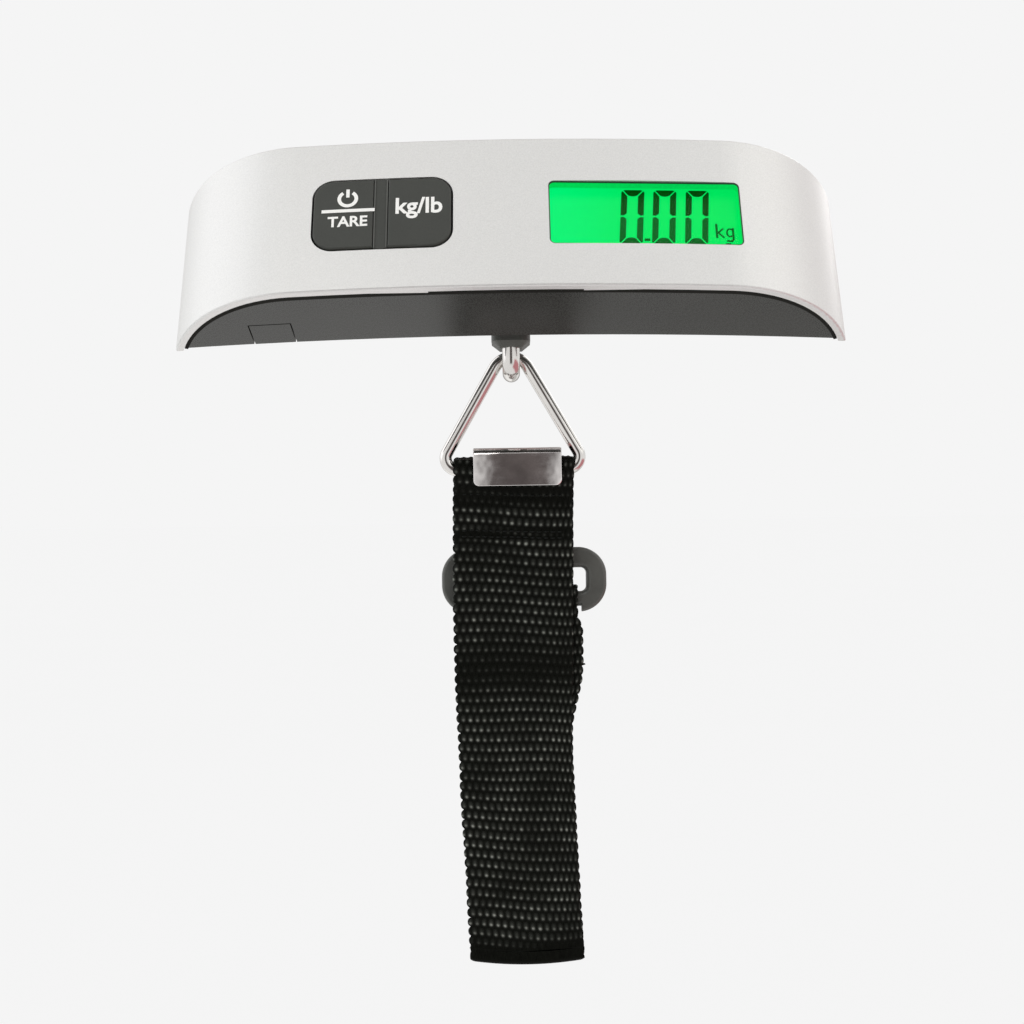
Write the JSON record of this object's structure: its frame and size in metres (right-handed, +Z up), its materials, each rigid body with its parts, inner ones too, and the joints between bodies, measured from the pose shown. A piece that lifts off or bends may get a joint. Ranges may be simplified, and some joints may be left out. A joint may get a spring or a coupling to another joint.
{
  "type": "digital luggage scale",
  "caption": "Arched hand-held luggage scale with a back-lit display, a key pad, a swivelling hook, a triangular ring and a folded webbing strap with a buckle.",
  "frame": {"origin": "middle of the hand grip, halfway between its underside and the crown of its cover", "axes": "+Z up while the scale hangs, +X along the grip towards the display end, -Y towards the reader"},
  "size_m": [0.1386, 0.0397, 0.1732],
  "materials": {
    "cover_silver": "satin metallic silver paint over moulded plastic",
    "dark_shell": "satin moulded, dark charcoal",
    "key_rubber": "matt silicone with white printed legends",
    "lens_clear": "clear moulded acrylic",
    "lcd_green": "back-lit liquid crystal panel",
    "frame_black": "moulded",
    "light_guide": "edge-lit diffuser",
    "led_white": "moulded",
    "zebra_rubber": "striped elastomer",
    "board_green": "solder mask over glass epoxy",
    "chip_black": "moulded",
    "switch_black": "moulded",
    "plunger_white": "moulded",
    "cell_aluminium": "milled",
    "gauge_foil": "foil under clear coating",
    "zinc_steel": "zinc plated",
    "bush_plastic": "moulded acetal",
    "stem_steel": "nickel plated",
    "link_chrome": "bright chrome plated wire",
    "ring_chrome": "bright chrome plated wire",
    "clip_chrome": "polished pressed sheet",
    "collar_dark": "moulded",
    "strap_black": "plain woven nylon webbing",
    "buckle_grey": "moulded acetal",
    "cell_steel": "nickel plated can",
    "contact_brass": "plated spring strip",
    "wire_pvc": "insulated leads",
    "door_dark": "satin moulded, dark charcoal"
  },
  "bodies": {
    "grip": {"top_cover": "cover_silver", "base_shell": "dark_shell", "display_lens": "lens_clear", "lcd_panel": "lcd_green", "lcd_frame": "frame_black", "backlight_guide": "light_guide", "backlight_leds": "led_white", "zebra_strip": "zebra_rubber", "circuit_board": "board_green", "board_components": "plunger_white", "controller_chip": "chip_black", "board_screws": "zinc_steel", "tact_switches": "switch_black", "key_web": "key_rubber", "load_cell": "cell_aluminium", "strain_gauges": "gauge_foil", "load_cell_bracket": "zinc_steel", "load_cell_screws": "zinc_steel", "stem_bush": "bush_plastic", "coin_cell": "cell_steel", "battery_contact_positive": "contact_brass", "battery_contact_negative": "contact_brass", "sensor_wires": "wire_pvc", "battery_wires": "wire_pvc", "cover_screws": "zinc_steel"},
    "power": {"power_key": "key_rubber", "power_plunger": "plunger_white"},
    "unit": {"unit_key": "key_rubber", "unit_plunger": "plunger_white"},
    "door": {"battery_door": "door_dark"},
    "stem": {"hook_stem": "stem_steel", "stem_nut": "zinc_steel", "stem_washer": "zinc_steel", "fork_pin": "stem_steel"},
    "hook": {"steel_link": "link_chrome", "hook_collar": "collar_dark"},
    "ring": {"triangle_ring": "ring_chrome"},
    "strap": {"strap_front": "strap_black", "strap_clip": "clip_chrome"},
    "tail": {"strap_back": "strap_black"},
    "buckle": {"buckle": "buckle_grey"}
  },
  "joints": [
    {"name": "power_press", "type": "slide", "parent": "grip", "child": "power", "axis": [0, 0.8886, -0.4587], "range_m": [0, 0.0006], "stiffness_N_per_m": 1200, "springref_m": -0.0004},
    {"name": "unit_press", "type": "slide", "parent": "grip", "child": "unit", "axis": [0, 0.8886, -0.4587], "range_m": [0, 0.0006], "stiffness_N_per_m": 1200, "springref_m": -0.0004},
    {"name": "battery_door_open", "type": "hinge", "parent": "grip", "child": "door", "pos_m": [-0.0491, 0.01501, 0.00868], "axis": [0.9979, -0.058, 0.0299], "range_deg": [0, 80]},
    {"name": "hook_swivel", "type": "hinge", "parent": "grip", "child": "stem", "pos_m": [0, 0.014, -0.00722], "axis": [0, -0.8886, 0.4587], "continuous": true},
    {"name": "hook_swing", "type": "hinge", "parent": "stem", "child": "hook", "pos_m": [0, 0.014, -0.00722], "axis": [1, 0, 0], "range_deg": [-15, 140]},
    {"name": "ring_swing", "type": "hinge", "parent": "hook", "child": "ring", "pos_m": [0, 0.014, -0.02327], "axis": [-1, 0, 0], "range_deg": [-80, 80]},
    {"name": "strap_swing", "type": "hinge", "parent": "ring", "child": "strap", "pos_m": [0, 0.014, -0.04706], "axis": [1, 0, 0], "range_deg": [-70, 70]},
    {"name": "strap_unfold", "type": "hinge", "parent": "strap", "child": "tail", "pos_m": [0, 0.01415, -0.15145], "axis": [-1, 0, 0], "range_deg": [0, 170]},
    {"name": "buckle_swing", "type": "hinge", "parent": "tail", "child": "buckle", "pos_m": [0, 0.01765, -0.07505], "axis": [-1, 0, 0], "range_deg": [0, 110]}
  ]
}
